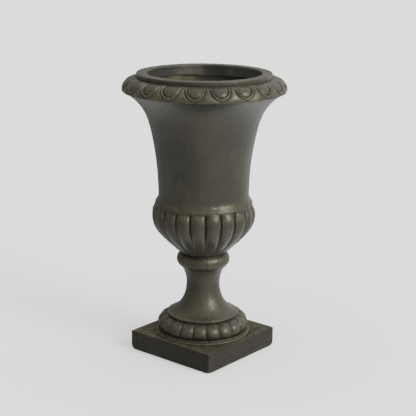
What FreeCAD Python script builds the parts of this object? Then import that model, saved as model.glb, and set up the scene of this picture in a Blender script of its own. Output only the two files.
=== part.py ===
import FreeCAD, Part
import math
import os

# Urn planter, moulded in two half shells that meet on the upright plane through the axis and
# two opposite corners of the plinth.  Millimetres, +Z up, origin under the middle of the plinth,
# plinth sides along X and Y, front seam corner at +X -Y.

# ---- driving dimensions ----------------------------------------------------------------------

# laminate and joints
wall = 8.0                    # shell thickness
bond_gap = 0.3                # bonding paste between inner pieces and the shells
strip_width = 36.0            # tape over the seam, inside
strip_thickness = 3.0
strip_end_gap = 2.0           # between the tape's ends and what lies there

# plinth
plinth_side = 292.5
plinth_height = 56.0
plinth_wall = 15.0
plinth_roof = 10.0
plinth_corner = 7.0           # rounding of the upright edges
plinth_top_edge = 2.5
plinth_bottom_edge = 6.0      # less than the upright edges

# fillet ring on the plinth, in two steps
ring_margin = 12.25           # from the plinth's sides in to the ring
ring_lower_height = 5.0
ring_step = 3.0
ring_upper_height = 5.0

# gadrooned foot
foot_margin = 11.0            # from the ring in to the ground between the lobes
foot_height = 42.0
foot_ground_draw = 2.0        # how far the ground pulls in half way up
foot_bulge = 8.5              # how far the lobes stand out of the ground
foot_crown_share = 0.36       # how high up the foot the lobes are thickest
foot_toe_stand = 3.0          # how far a lobe's toe stands out
foot_toe_gap = 3.7            # between two lobes' toes
foot_head_stand = 1.0         # how far a lobe's head stays behind the lip
foot_head_depth = 11.0
lobe_end_gap = 2.0            # between a lobe's ends and the pieces above and below it
lip_setback = 18.0            # of the lip behind the ground's foot
lip_thickness = 6.0

# stem
waist_radius = 47.4
waist_rise = 86.0             # from the lip up to the waist
neck_rise = 50.0              # from the waist up to the collar
neck_radius = 62.0

# collar under the cup
collar_seat = 2.0             # width of the ledge where the collar meets the stem
collar_radius = 74.3
collar_height = 38.0
groove_radius = 63.0
groove_height = 6.0
groove_slope = 4.0            # how far the groove's sides run out, above and below

# gadrooned cup
cup_radius = 133.0            # the ground between the lobes
cup_height = 138.0
cup_crown_drop = 30.0         # from the cup's top down to where it is widest
cup_bulge = 11.3              # how far the lobes stand out of the ground
cup_toe_stand = 9.0           # how far a lobe's toe stands out of the groove
cup_toe_depth = 12.0          # from a lobe's toe to its middle line
cup_head_stand = 3.0
cup_head_depth = 17.0
shoulder_stand = 5.0          # how far the shoulder's edge stands over the ground
shoulder_rise = 30.0

# body
body_radius = 127.3
body_rise = 218.0             # nearly straight stretch
flare_radius = 159.2
flare_rise = 69.0             # from there out to the rim roll

# rim roll, fascia and mouth
roll_radius = 224.0           # the ground between the eggs
roll_height = 39.0
roll_lip = 3.0                # depth and height of the roll's sharp lower edge
roll_crown_out = 0.62         # where the roll's crown lies, as shares of its width
roll_crown_drop = 0.33        # and of its height
roll_depth = 37.2             # from the roll's edge in to the fascia
fascia_height = 12.0
fascia_edge = 2.0
brim_width = 29.3             # from the fascia in to the mouth
flange_thickness = 10.0
egg_radius = 29.0
egg_stand = 3.5               # how far an egg stands out of the roll
egg_rise = 12.0               # of an egg's middle above the roll's lower edge
dart_radius = 6.0
dart_rise = 8.0               # of a dart's foot above the roll's lower edge
dart_reach = 9.0              # of its tip past the roll's crown
dart_way = 140.0              # of its tip from there

# ornament round the urn
unit_count = 20

# rim band, bowl floor, plug and base plate
band_thickness = 6.0
band_depth = 45.0             # below the flange
floor_rise = 14.0             # of the floor's seat above the cup's lowest point
floor_thickness = 8.0
floor_clearance = 0.4
drain_radius = 9.0
plug_clearance = 0.3
plug_stem_length = 12.0
plug_head_radius = 15.0
plug_head_height = 4.0
plug_knob_radius = 4.0
plug_knob_flare = 1.5         # how much wider the knob is at its top
plug_knob_height = 8.0
base_plate_thickness = 6.0
base_plate_recess = 2.0
outlet_radius = 10.0

# where the bore's corners lie from those of the outside: degrees, 0 outwards and 90 upwards,
# and how much further than the wall's thickness
lip_way = 228.0
lip_way_share = 1.25
neck_way = 155.0
cup_way = 135.0
flare_way = 160.0
roll_lip_way = 135.0
roll_lip_way_share = 1.3
roll_crown_way = 225.0

# leans of the outline's curves at their lower and upper ends: shares, out and up, of the way
# between the ends
stem_low_lean = (0.45, 0.07)
waist_low_lean = (0.0, 0.56)
waist_high_lean = (0.0, 0.35)
neck_lean = (0.6, 0.3)
cup_low_lean = (0.42, 0.22)
cup_high_lean = (0.0, 0.5)
shoulder_low_lean = (0.65, 0.3)
shoulder_high_lean = (0.0, 0.45)
body_low_lean = (0.0, 0.36)
body_high_lean = (0.54, 0.206)
flare_low_share = 0.36        # of the flare's height, carrying on the body's lean
flare_high_lean = (0.5, 0.23)

# ---- radii and levels, worked out from the sizes above ---------------------------------------

ring_radius = plinth_side / 2 - ring_margin
foot_radius = ring_radius - ring_step - foot_margin
foot_toe_depth = (2 * math.pi * foot_radius / unit_count - foot_toe_gap) / 2   # to its middle line
lip_radius = foot_radius - lip_setback
fascia_radius = roll_radius - roll_depth
mouth_radius = fascia_radius - brim_width
ring_mid = plinth_height + ring_lower_height
ring_top = ring_mid + ring_upper_height
lip_bottom = ring_top + foot_height
lip_top = lip_bottom + lip_thickness
waist_level = lip_top + waist_rise
collar_bottom = waist_level + neck_rise
collar_top = collar_bottom + collar_height
cup_bottom = collar_top + groove_height
cup_top = cup_bottom + cup_height
body_bottom = cup_top + shoulder_rise
flare_level = body_bottom + body_rise
roll_bottom = flare_level + flare_rise
fascia_bottom = roll_bottom + roll_height
height = fascia_bottom + fascia_height
flange_bottom = height - flange_thickness
cup_crown_level = cup_top - cup_crown_drop
floor_seat = cup_bottom + floor_rise
floor_top = floor_seat + floor_thickness
plinth_ceiling = plinth_height - plinth_roof
unit_angle = 360.0 / unit_count
seam_angle = -45.0            # of the front seam, from +X
reach = 2 * roll_radius       # larger than anything round the axis

UP = FreeCAD.Vector(0, 0, 1)
CENTRE = FreeCAD.Vector(0, 0, 0)


# ---- drawing helpers: outlines lie in the plane of X (radius) and Z (level) -------------------

def point(radius, level):
    return FreeCAD.Vector(radius, 0, level)


def moved(start, distance, angle):
    """The point at a distance from start, 0 degrees pointing outwards and 90 upwards."""
    turn = math.radians(angle)
    return start + point(distance * math.cos(turn), distance * math.sin(turn))


def line(start, end):
    return Part.LineSegment(start, end).toShape()


def arc(start, middle, end):
    return Part.Arc(start, middle, end).toShape()


def curve(poles):
    result = Part.BezierCurve()
    result.setPoles(poles)
    return result.toShape()


def bend(start, leaving, arriving, end):
    """A smooth curve.  Its two leans are shares of the way from start to end, out and up."""
    out = end.x - start.x
    rise = end.z - start.z
    return curve([start, start + point(leaving[0] * out, leaving[1] * rise),
                  end - point(arriving[0] * out, arriving[1] * rise), end])


def turned(edges, angle=180.0, start_angle=0.0):
    """The solid that a closed outline sweeps round the urn's axis."""
    face = Part.Face(Part.Wire(edges))
    face.rotate(CENTRE, UP, start_angle)
    return face.revolve(CENTRE, UP, angle)


def ends(edges):
    return edges[0].Vertexes[0].Point, edges[-1].Vertexes[-1].Point


def repeated(solid, first=0.5, extra=0):
    """Copies of one ornament round half the urn, the first so many units from the seam."""
    copies = []
    for index in range(unit_count // 2 + extra):
        copy = solid.copy()
        copy.rotate(CENTRE, UP, unit_angle * (index + first))
        copies.append(copy)
    return copies


def joined(first, others):
    return first.multiFuse(others).removeSplitter()


def half_space():
    """The side of the seam plane that one shell fills."""
    return Part.makeBox(2 * reach, reach, height + reach, FreeCAD.Vector(-reach, 0, -reach / 2))


# ---- outlines of the shells ------------------------------------------------------------------

def foot_ground(inset, high):
    """From the fillet ring up to the point high, between the lobes."""
    low = point(foot_radius - inset, ring_top)
    middle = point(foot_radius - foot_ground_draw - inset, ring_top + foot_height / 2)
    return arc(low, middle, high)


def stem(inset):
    """From the lip's top in to the waist, and out again to the collar."""
    start = moved(point(lip_radius - lip_thickness / 2, lip_top), lip_way_share * inset, lip_way)
    waist = point(waist_radius - inset, waist_level)
    finish = moved(point(neck_radius, collar_bottom), inset, neck_way)
    return [bend(start, stem_low_lean, waist_low_lean, waist),
            bend(waist, waist_high_lean, neck_lean, finish)]


def cup_ground(inset):
    """From the groove over the collar up to the shoulder, between the lobes."""
    start = moved(point(groove_radius + groove_slope, cup_bottom), inset, cup_way)
    belly = point(cup_radius - inset, cup_crown_level)
    return [bend(start, cup_low_lean, cup_high_lean, belly),
            line(belly, point(cup_radius - inset, cup_top))]


def shoulder(inset, start):
    """From the point start, over the lobes' heads, in to the body."""
    finish = point(body_radius - inset, body_bottom)
    return bend(start, shoulder_low_lean, shoulder_high_lean, finish)


def body(inset):
    """From the shoulder up, nearly straight and then out to the rim roll."""
    start = point(body_radius - inset, body_bottom)
    middle = moved(point(flare_radius, flare_level), inset, flare_way)
    finish = moved(point(roll_radius - roll_lip, roll_bottom), roll_lip_way_share * inset, roll_lip_way)
    lean = point(body_high_lean[0] * (middle.x - start.x), body_high_lean[1] * (middle.z - start.z))
    out = finish.x - middle.x
    rise = finish.z - middle.z
    lower = bend(start, body_low_lean, body_high_lean, middle)
    upper = curve([middle, middle + lean * (flare_low_share * rise / lean.z),
                   finish - point(flare_high_lean[0] * out, flare_high_lean[1] * rise), finish])
    return [lower, upper]


def roll_crown():
    """The point half way over the rim roll, between the eggs."""
    return point(fascia_radius + roll_crown_out * (roll_radius - fascia_radius),
                 fascia_bottom - roll_crown_drop * roll_height)


def pedestal_outline():
    """The outside from the plinth's ceiling up to the cup."""
    lip_edge = lip_radius - lip_thickness / 2
    lip_low = point(lip_edge, lip_bottom)
    ring_inner = ring_radius - ring_step
    stalk = stem(0)
    collar_low = point(neck_radius + collar_seat, collar_bottom)
    collar_high = point(groove_radius + groove_slope, collar_top)
    groove_low = point(groove_radius, collar_top + groove_height / 3)
    groove_high = point(groove_radius, cup_bottom - groove_height / 3)
    return [line(point(0, plinth_ceiling), point(ring_inner, plinth_ceiling)),
            line(point(ring_inner, plinth_ceiling), point(ring_radius, plinth_height)),
            line(point(ring_radius, plinth_height), point(ring_radius, ring_mid)),
            line(point(ring_radius, ring_mid), point(ring_inner, ring_mid)),
            line(point(ring_inner, ring_mid), point(ring_inner, ring_top)),
            line(point(ring_inner, ring_top), point(foot_radius, ring_top)),
            foot_ground(0, lip_low),
            arc(lip_low, point(lip_radius, lip_bottom + lip_thickness / 2), point(lip_edge, lip_top)),
            stalk[0],
            stalk[1],
            line(point(neck_radius, collar_bottom), collar_low),
            arc(collar_low, point(collar_radius, collar_bottom + collar_height / 2), collar_high),
            line(collar_high, groove_low),
            line(groove_low, groove_high),
            line(groove_high, point(groove_radius + groove_slope, cup_bottom))]


def rim_outline():
    """The outside of the roll, the fascia and the brim, down the mouth and in to the axis."""
    roll_low = point(roll_radius - roll_lip, roll_bottom)
    roll_edge = point(roll_radius, roll_bottom + roll_lip)
    roll_end = point(fascia_radius, fascia_bottom)
    fascia_top = point(fascia_radius, height - fascia_edge)
    brim_outer = point(fascia_radius - fascia_edge, height)
    brim_inner = point(mouth_radius + fascia_edge, height)
    brim_low = point(mouth_radius, height - fascia_edge)
    corner = fascia_edge * (1 - math.sqrt(0.5))
    mouth_foot = point(mouth_radius, flange_bottom)
    return [line(roll_low, roll_edge),
            arc(roll_edge, roll_crown(), roll_end),
            line(roll_end, fascia_top),
            arc(fascia_top, point(fascia_radius - corner, height - corner), brim_outer),
            line(brim_outer, brim_inner),
            arc(brim_inner, point(mouth_radius + corner, height - corner), brim_low),
            line(brim_low, mouth_foot),
            line(mouth_foot, point(0, flange_bottom))]


def outer_outline():
    """The whole outside from the plinth to the mouth, closed along the axis."""
    shoulder_edge = point(cup_radius + shoulder_stand, cup_top)
    edges = pedestal_outline() + cup_ground(0)
    edges += [line(point(cup_radius, cup_top), shoulder_edge), shoulder(0, shoulder_edge)]
    edges += body(0) + rim_outline()
    return edges + [line(point(0, flange_bottom), point(0, plinth_ceiling))]


def pedestal_bore(inset):
    """The inside of foot, stem and collar, from the plinth's ceiling up to the groove."""
    stalk = stem(inset)
    stalk_low, stalk_high = ends(stalk)
    foot_low = point(foot_radius - inset, ring_top)
    return [line(point(foot_low.x, plinth_ceiling), foot_low), foot_ground(inset, stalk_low)] \
        + stalk + [line(stalk_high, point(groove_radius - inset, collar_top))]


def pedestal_hollow():
    bore = pedestal_bore(wall)
    low, high = ends(bore)
    return turned(bore + [line(high, point(high.x, floor_seat)),
                          line(point(high.x, floor_seat), point(0, floor_seat)),
                          line(point(0, floor_seat), point(0, plinth_ceiling)),
                          line(point(0, plinth_ceiling), low)])


def bowl_bore(inset):
    """The inside of cup, shoulder and body."""
    cup = cup_ground(inset)
    return cup + [shoulder(inset, ends(cup)[1])] + body(inset)


def bowl_hollow():
    bore = bowl_bore(wall)
    low, high = ends(bore)
    roll_inner = point(fascia_radius - wall, fascia_bottom - wall / 2)
    hollow = turned(bore + [arc(high, moved(roll_crown(), wall, roll_crown_way), roll_inner),
                            line(roll_inner, point(roll_inner.x, flange_bottom)),
                            line(point(roll_inner.x, flange_bottom), point(0, flange_bottom)),
                            line(point(0, flange_bottom), point(0, low.z)),
                            line(point(0, low.z), low)])
    below = Part.makeBox(2 * reach, 2 * reach, floor_seat, FreeCAD.Vector(-reach, -reach, 0))
    return hollow.cut(below)


# ---- ornament --------------------------------------------------------------------------------

def spindle(low, high, crown):
    """A lobe: a round solid turned about the leaning line from low to high."""
    face = Part.Face(Part.Wire([line(low, crown[0])] + crown[1] + [line(crown[2], high), line(high, low)]))
    return face.revolve(low, high - low, 360)


def cup_lobe():
    toe = point(groove_radius + cup_toe_stand, cup_bottom + lobe_end_gap)
    crown = point(cup_radius + cup_bulge, cup_crown_level)
    head = point(cup_radius + cup_head_stand, cup_top - lobe_end_gap)
    low = point(toe.x - cup_toe_depth, toe.z)
    high = point(head.x - cup_head_depth, head.z)
    outline = [bend(toe, (0.4, 0.3), (0.0, 0.45), crown), bend(crown, (0.0, 0.5), (0.5, 0.0), head)]
    return spindle(low, high, (toe, outline, head))


def foot_lobe():
    toe = point(foot_radius + foot_toe_stand, ring_top + lobe_end_gap / 2)
    crown = point(foot_radius + foot_bulge, ring_top + foot_crown_share * foot_height)
    head = point(lip_radius - foot_head_stand, lip_bottom - lobe_end_gap)
    low = point(toe.x - foot_toe_depth, toe.z)
    high = point(head.x - foot_head_depth, head.z)
    return spindle(low, high, (toe, [arc(toe, crown, head)], head))


def egg():
    """A ball sunk in the rim roll, cut off level with the roll's edge and with the fascia."""
    centre = point(roll_radius + egg_stand - egg_radius, roll_bottom + egg_rise)
    along = FreeCAD.Vector(0, 1, 0)
    slab = Part.makeBox(reach, reach, roll_height, FreeCAD.Vector(0, -reach / 2, roll_bottom))
    return Part.makeSphere(egg_radius, centre, along).common(slab)


def dart():
    """A tapered spur between two eggs, wide at the roll's lower edge."""
    foot = point(roll_radius - dart_radius / 3, roll_bottom + dart_rise)
    top = moved(roll_crown(), dart_reach, dart_way)
    return Part.makeCone(dart_radius, dart_radius / 4, (top - foot).Length, foot, top - foot)


# ---- pieces ----------------------------------------------------------------------------------

def plinth_block():
    """The square plinth, turned so that two corners lie on the seam plane."""
    half = plinth_side / 2
    block = Part.makeBox(plinth_side, plinth_side, plinth_height, FreeCAD.Vector(-half, -half, 0))
    upright = [edge for edge in block.Edges if edge.Length < plinth_side - 1]
    block = block.makeFillet(plinth_corner, upright)
    top = [edge for edge in block.Edges if edge.BoundBox.ZMin > plinth_height - 0.1]
    block = block.makeFillet(plinth_top_edge, top)
    bottom = [edge for edge in block.Edges if edge.BoundBox.ZMax < 0.1]
    block = block.makeFillet(min(plinth_bottom_edge, plinth_wall / 2), bottom)
    block.rotate(CENTRE, UP, 45)
    return block


def plinth_hollow():
    side = plinth_side - 2 * plinth_wall
    hollow = Part.makeBox(side, side, plinth_ceiling + 1.0, FreeCAD.Vector(-side / 2, -side / 2, -1.0))
    hollow.rotate(CENTRE, UP, 45)
    return hollow


def half_shell():
    """One shell, on the +Y side of the seam plane before it is turned to its place."""
    core = turned(outer_outline())
    cover = joined(core, [plinth_block()] + repeated(cup_lobe()) + repeated(foot_lobe())
                   + repeated(egg()) + repeated(dart(), first=0, extra=1))
    cover = cover.common(half_space())
    return cover.cut(pedestal_hollow()).cut(bowl_hollow()).cut(plinth_hollow())


def rim_band():
    """The ring that lines the mouth under the flange."""
    foot = point(0, flange_bottom - band_depth)
    ring = Part.makeCylinder(mouth_radius + band_thickness, band_depth, foot)
    return ring.cut(Part.makeCylinder(mouth_radius, band_depth, foot))


def seam_strip(bore, low_level, high_level):
    """Tape along a bore's wall over the front seam, cut to its width and to two levels."""
    outer = bore(wall + bond_gap)
    inner = bore(wall + bond_gap + strip_thickness)
    outer_low, outer_high = ends(outer)
    inner_low, inner_high = ends(inner)
    edges = outer + [line(outer_high, inner_high)] + inner[::-1] + [line(inner_low, outer_low)]
    narrowest = min(edge.BoundBox.XMin for edge in inner)
    sweep = 1.2 * math.degrees(math.asin(min(1.0, strip_width / 2 / narrowest)))
    tape = turned(edges, 2 * sweep, -sweep)
    limits = Part.makeBox(reach, strip_width, high_level - low_level,
                          FreeCAD.Vector(0, -strip_width / 2, low_level))
    return tape.common(limits)


def bowl_floor():
    seat_radius = seat_edge() - floor_clearance
    disc = Part.makeCylinder(seat_radius, floor_thickness, point(0, floor_seat))
    return disc.cut(Part.makeCylinder(drain_radius, floor_thickness, point(0, floor_seat)))


def seat_edge():
    """The bowl's inner radius at the level of the floor's seat."""
    cut = bowl_hollow().slice(UP, floor_seat + 0.01)
    return max(wire.BoundBox.XMax for wire in cut)


def drain_plug():
    stem_radius = drain_radius - plug_clearance
    plug = Part.makeCylinder(stem_radius, plug_stem_length, point(0, floor_top - plug_stem_length))
    head = Part.makeCylinder(plug_head_radius, plug_head_height, point(0, floor_top))
    knob_level = floor_top + plug_head_height
    knob = Part.makeCone(plug_knob_radius, plug_knob_radius + plug_knob_flare, plug_knob_height,
                         point(0, knob_level))
    return joined(plug, [head, knob])


def base_plate():
    side = plinth_side - 2 * plinth_wall - 2 * bond_gap
    corner = FreeCAD.Vector(-side / 2, -side / 2, base_plate_recess)
    plate = Part.makeBox(side, side, base_plate_thickness, corner)
    outlet = Part.makeCylinder(outlet_radius, base_plate_thickness, point(0, base_plate_recess))
    return plate.cut(outlet)


def placed(shape, angle):
    result = shape.copy()
    result.rotate(CENTRE, UP, angle)
    return result


def parts():
    shell = half_shell()
    bowl_strip = seam_strip(bowl_bore, floor_top + strip_end_gap, roll_bottom - strip_end_gap)
    pedestal_strip = seam_strip(pedestal_bore, plinth_ceiling + strip_end_gap, collar_top - strip_end_gap)
    back_angle = seam_angle + 180
    return {"right_shell": placed(shell, seam_angle),
            "left_shell": placed(shell, back_angle),
            "rim_band": rim_band(),
            "bowl_seam_strip_front": placed(bowl_strip, seam_angle),
            "bowl_seam_strip_back": placed(bowl_strip, back_angle),
            "pedestal_seam_strip_front": placed(pedestal_strip, seam_angle),
            "pedestal_seam_strip_back": placed(pedestal_strip, back_angle),
            "bowl_floor": bowl_floor(),
            "drain_plug": drain_plug(),
            "base_plate": base_plate()}


os.makedirs("parts", exist_ok=True)
for name, shape in parts().items():
    shape.exportStep("parts/" + name + ".step")
    print(name, "solids", len(shape.Solids), "volume", round(shape.Volume), "valid", shape.isValid())
print("height", height, "widest", 2 * roll_radius)
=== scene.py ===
import math
import bmesh
import bpy
import numpy as np
from mathutils import Matrix, Vector


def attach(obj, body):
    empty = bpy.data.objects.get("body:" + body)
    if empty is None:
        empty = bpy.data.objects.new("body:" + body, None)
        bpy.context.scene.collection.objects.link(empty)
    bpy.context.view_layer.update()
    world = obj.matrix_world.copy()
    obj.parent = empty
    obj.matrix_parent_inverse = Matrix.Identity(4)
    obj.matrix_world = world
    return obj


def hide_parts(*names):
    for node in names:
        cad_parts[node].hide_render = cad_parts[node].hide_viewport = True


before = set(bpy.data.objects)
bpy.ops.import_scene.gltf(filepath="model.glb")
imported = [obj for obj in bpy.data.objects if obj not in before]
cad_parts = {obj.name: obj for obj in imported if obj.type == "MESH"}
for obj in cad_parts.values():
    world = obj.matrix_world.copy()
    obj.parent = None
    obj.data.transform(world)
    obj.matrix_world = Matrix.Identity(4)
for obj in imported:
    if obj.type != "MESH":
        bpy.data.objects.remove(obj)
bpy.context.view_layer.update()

bl_info = {
    "name": "Urn Planter",
    "version": (1, 0, 0),
    "blender": (4, 5, 0),
    "location": "3D View > Sidebar > Urn",
    "description": "A tall moulded urn with egg-and-dart rim, gadrooned cup and foot and square plinth",
    "category": "Add Mesh",
}

BODY = "urn"
PLUG_BODY = "plug"

# Outlines are in millimetres, as (radius, level) points; meshes are in metres.
MM = 0.001
UNITS = 20                       # ornaments round the urn
UNIT_DEGREES = 360 / UNITS
HALF_UNIT = UNIT_DEGREES / 2
STEP = 2 * math.pi / UNITS
SEAM = math.radians(-45)         # azimuth of the front seam
WALL = 8.0
HALVES = (("right_shell", SEAM), ("left_shell", SEAM + math.pi))

PLINTH_SIDE, PLINTH_HEIGHT, PLINTH_CEILING, PLINTH_WALL = 292.5, 56.0, 46.0, 15.0
RING_RADIUS, RING_TOP = 120, 66.0
FOOT_RADIUS, FOOT_LEVEL, FOOT_BORE = 118, 87, 112.0
LIP_RADIUS, LIP_BOTTOM, LIP_TOP = 99, 108.0, 114.0
WAIST_RADIUS, WAIST_LEVEL = 47.4, 200
STEM_TOP_RADIUS, STEM_TOP = 62, 250
CUP_BOTTOM, CUP_TOP = 294.0, 432.0
CUP_FOOT_RADIUS, NECK_RADIUS, NECK_LEVEL = 67, 65.4, 290
CUP_RADIUS, CUP_WIDEST = 133, 402
SHOULDER_RADIUS = 137.2
SEAT_RADIUS, FLOOR_RADIUS, FLOOR_BORE = 71.3, 70.6, 55
FLOOR_SEAT, FLOOR_TOP = 308.0, 316.0
BODY_RADIUS, BODY_BOTTOM = 127.3, 462.0
ROLL_RADIUS, ROLL_FOOT_RADIUS, ROLL_BOTTOM = 224, 221, 749.0
FASCIA_RADIUS, FASCIA_BOTTOM = 186.8, 788.0
HEIGHT = 800.0
MOUTH_RADIUS, FLANGE_BOTTOM = 157.5, 790.0
BAND_THICKNESS, BAND_BOTTOM = 6.0, 745.0

# The "raw" mark stored where a shell shows the mouth's lining or bare laminate, and the least that counts.
LINING_MARK, LAMINATE_MARK = 0.4, 1.0
LINING_LEAST, LAMINATE_LEAST = 0.25, 0.5
WELD, FINE_WELD = 0.00002, 0.00001


# ---- sizes and colours a user would change ----

def length(name, description, default):
    return bpy.props.FloatProperty(name=name, description=description, default=default, min=0.0,
                                   unit="LENGTH", subtype="DISTANCE", precision=4)


def share(name, description, default):
    return bpy.props.FloatProperty(name=name, description=description, default=default, min=0.0, max=1.0,
                                   subtype="FACTOR")


def angle(name, description, default):
    return bpy.props.FloatProperty(name=name, description=description, default=math.radians(default),
                                   unit="ROTATION", subtype="ANGLE")


def colour(name, description, default):
    return bpy.props.FloatVectorProperty(name=name, description=description, default=default, size=3,
                                         min=0.0, max=1.0, subtype="COLOR")


def strength(name, description, default):
    return bpy.props.FloatProperty(name=name, description=description, default=default, min=0.0)


class UrnOrnament(bpy.types.PropertyGroup):
    stand: length("Rim ornament height", "How far eggs, borders and darts stand out of the roll", 0.0081)
    rim_turn: angle("Rim turn", "Turn of the eggs and darts from the seam", -2.4)
    cup_turn: angle("Cup turn", "Turn of the cup's lobes from the seam", -2.0)
    foot_turn: angle("Foot turn", "Turn of the foot's lobes from the seam", 0.3)
    cup_groove: length("Cup groove depth", "Extra depth of the grooves between the cup's lobes", 0.0034)
    foot_groove: length("Foot groove depth", "Extra depth of the grooves between the foot's lobes", 0.0010)
    wobble: length("Casting wobble", "How far the hand casting strays from true", 0.0011)
    wobble_size: length("Wobble size", "Size of the casting's waves", 0.085)
    lumps: length("Casting lumps", "How far the small lumps of the casting stand out", 0.0010)
    lump_size: length("Lump size", "Size of the casting's small lumps", 0.016)
    seed: bpy.props.IntProperty(name="Seed", description="Seed of everything uneven", default=7)


class UrnFinish(bpy.types.PropertyGroup):
    paint: colour("Paint", "Dark antique paint", (0.0190, 0.0182, 0.0150))
    # The light paint tone is also used, raised, for the painted light on the mouth's lining.
    paint_light: colour("Paint, thin", "Where the paint is thin or dusty", (0.0288, 0.0276, 0.0218))
    wash: colour("Wash", "Olive wash over the ornament", (0.0270, 0.0260, 0.0165))
    # Khaki of the rubbing on crests; the same colour also paints highlights on some crests, lobe flanks and
    # edges.
    rub: colour("Rub", "Khaki rubbed on the ornament's crests", (0.185, 0.172, 0.108))
    # Near black of the crease darkening, partly soiling and partly painted shade; also the plinth's sand
    # pores.
    grime_and_shade: colour("Grime", "Darkness left in the creases", (0.0040, 0.0038, 0.0030))
    gloss_tint: colour("Gloss tint", "Waxy warmth of the paint's highlights", (1.0, 0.975, 0.82))
    laminate: colour("Laminate", "Raw fibre laminate", (0.092, 0.084, 0.045))
    resin: colour("Resin", "Brown resin at the laminate's trimmed edge", (0.0090, 0.0068, 0.0035))
    rubber: colour("Rubber", "The drain plug", (0.012, 0.012, 0.012))
    chalk: colour("Chalk", "Pale dust on the drain plug", (0.085, 0.080, 0.070))
    # Scales the rubbing and the painted highlights that go with it.
    rub_and_highlight_amount: share("Rub amount", "How much of the ornament is rubbed", 0.50)
    roughness: share("Paint roughness", "Sheen of the paint", 0.37)


class UrnStage(bpy.types.PropertyGroup):
    floor: colour("Floor", "The pale floor", (0.88, 0.88, 0.88))
    key: strength("Key light", "Strength of the soft light at the upper right", 3.35)
    top: strength("Top light", "Strength of the wide light overhead, without gloss", 3.2)
    softness: angle("Key softness", "How wide the key light is", 26)
    bright_side: strength("Bright side", "Brightness of the room beside and behind", 1.05)
    dark_side: strength("Dark side", "Brightness of the room in front", 0.35)
    ceiling: strength("Ceiling", "Brightness overhead", 0.5)
    below: strength("Below", "Brightness that gloss finds underneath", 0.5)


# ---- node trees ----

class Value:
    """A node's output that takes part in sums; each sum adds its Math node."""

    def __init__(self, graph, socket):
        self.graph, self.socket = graph, socket

    def __add__(self, other):
        return self.graph.maths("ADD", self, other)

    def __radd__(self, other):
        return self.graph.maths("ADD", other, self)

    def __sub__(self, other):
        return self.graph.maths("SUBTRACT", self, other)

    def __rsub__(self, other):
        return self.graph.maths("SUBTRACT", other, self)

    def __mul__(self, other):
        return self.graph.maths("MULTIPLY", self, other)

    def __rmul__(self, other):
        return self.graph.maths("MULTIPLY", other, self)

    def __truediv__(self, other):
        return self.graph.maths("DIVIDE", self, other)

    def __rtruediv__(self, other):
        return self.graph.maths("DIVIDE", other, self)


class Graph:
    """A node tree and the one way in which nodes are added to it."""

    def __init__(self, tree):
        self.tree = tree

    def node(self, kind, settings=None, values=None, output=0):
        """Adds a node: its settings first, then its sockets' values or links, by index or name."""
        node = self.tree.nodes.new(kind)
        for name, value in (settings or {}).items():
            setattr(node, name, value)
        for key, value in (values or {}).items():
            self.feed(node.inputs[key], value)
        return Value(self, node.outputs[output])

    def feed(self, socket, value):
        if isinstance(value, Value):
            self.tree.links.new(value.socket, socket)
        elif socket.type == "RGBA" and len(value) == 3:
            socket.default_value = (*value, 1.0)
        else:
            socket.default_value = value

    def maths(self, operation, *values):
        return self.node("ShaderNodeMath", {"operation": operation}, dict(enumerate(values)))

    def vector(self, operation, values, output=0):
        return self.node("ShaderNodeVectorMath", {"operation": operation}, values, output)

    def axis(self, vector, number):
        """One of a vector's three numbers."""
        return self.node("ShaderNodeSeparateXYZ", None, {0: vector}, output=number)

    def mix(self, factor, a, b):
        """Colour a turning to colour b."""
        return self.node("ShaderNodeMix", {"data_type": "RGBA", "clamp_factor": True},
                         {0: factor, 6: a, 7: b}, output=2)

    def ramp(self, value, low, high, to_low=0.0, to_high=1.0):
        """A value brought smoothly from low..high to to_low..to_high."""
        return self.node("ShaderNodeMapRange", {"interpolation_type": "SMOOTHSTEP", "clamp": True},
                         {0: value, 1: low, 2: high, 3: to_low, 4: to_high})

    def noise(self, place, scale, detail=4.0, roughness=0.55, distortion=0.0, seed=0.0, output=0):
        return self.node("ShaderNodeTexNoise", {"noise_dimensions": "4D"},
                         {"Vector": place, "W": seed, "Scale": scale, "Detail": detail,
                          "Roughness": roughness, "Distortion": distortion}, output)

    def attribute(self, name):
        """A mark stored on the mesh, in a material."""
        return self.node("ShaderNodeAttribute", {"attribute_name": name}, output=2)

    def stored(self, name):
        """A mark stored on the mesh, in a geometry tree."""
        return self.node("GeometryNodeInputNamedAttribute", {"data_type": "FLOAT"}, {"Name": name})

    def strayed(self, solid, size, amount, seed):
        """A solid whose points stray by noise of a size, an amount and a seed."""
        noise = self.noise(self.node("GeometryNodeInputPosition"), 1.0 / size, 2.0, seed=seed, output=1)
        way = self.vector("SUBTRACT", {0: noise, 1: (0.5, 0.5, 0.5)})
        way = self.vector("SCALE", {0: way, "Scale": amount})
        return self.node("GeometryNodeSetPosition", None, {"Geometry": solid, "Offset": way})

    def finished(self, solid, material, selection=True):
        return self.node("GeometryNodeSetMaterial", None,
                         {"Geometry": solid, "Selection": selection, "Material": material})


def new_material(name):
    """An empty material with its Principled shader: (material, graph, shader node)."""
    material = bpy.data.materials.new(name)
    material.use_nodes = True
    graph = Graph(material.node_tree)
    graph.tree.nodes.clear()
    shader = graph.tree.nodes.new("ShaderNodeBsdfPrincipled")
    out = graph.tree.nodes.new("ShaderNodeOutputMaterial")
    graph.tree.links.new(shader.outputs[0], out.inputs["Surface"])
    return material, graph, shader


def object_place(graph, stretch=None):
    """Object coordinates, stretched where a pattern runs one way."""
    place = graph.node("ShaderNodeTexCoord", output=3)
    if stretch is None:
        return place
    return graph.node("ShaderNodeMapping", {"vector_type": "POINT"}, {"Vector": place, "Scale": stretch})


def feed_shader(graph, shader, **values):
    names = {"colour": "Base Color", "roughness": "Roughness", "normal": "Normal",
             "specular": "Specular IOR Level", "gloss_tint": "Specular Tint", "metal": "Metallic"}
    for key, value in values.items():
        graph.feed(shader.inputs[names[key]], value)


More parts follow.
